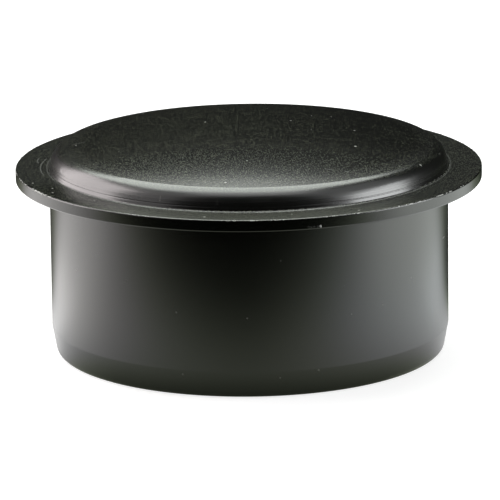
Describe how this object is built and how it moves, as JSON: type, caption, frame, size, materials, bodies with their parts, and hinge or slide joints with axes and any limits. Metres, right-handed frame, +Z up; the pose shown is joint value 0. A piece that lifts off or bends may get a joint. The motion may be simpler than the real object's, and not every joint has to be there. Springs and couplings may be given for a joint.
{
  "type": "air admittance valve",
  "caption": "Push-in air admittance valve for a drainage stack: a low domed cover with a wide flange on a straight spigot, and a lift valve inside that falls shut by its own weight.",
  "frame": {"origin": "on the valve's axis, at the level of the spigot's lower rim", "axes": "+Z up along the valve's axis, from the spigot to the dome; the valve is round, so X and Y are any two level directions"},
  "size_m": [0.1286, 0.1286, 0.0633],
  "materials": {
    "black_plastic": "injection-moulded black plastic, satin with a fine sandy grain on the top faces",
    "carrier_plastic": "injection-moulded dark grey plastic, satin",
    "screen_plastic": "thin moulded grey plastic, satin",
    "seal_rubber": "soft black rubber, matt"
  },
  "bodies": {
    "housing": {"cover": "black_plastic", "spigot_body": "black_plastic", "throat_plate": "black_plastic", "seat_ring": "black_plastic", "cover_gasket": "seal_rubber", "insect_screen": "screen_plastic"},
    "valve": {"valve_carrier": "carrier_plastic", "membrane": "seal_rubber"}
  },
  "joints": [
    {"name": "valve_lift", "type": "slide", "parent": "housing", "child": "valve", "axis": [0, 0, 1], "range_m": [0, 0.006]}
  ]
}
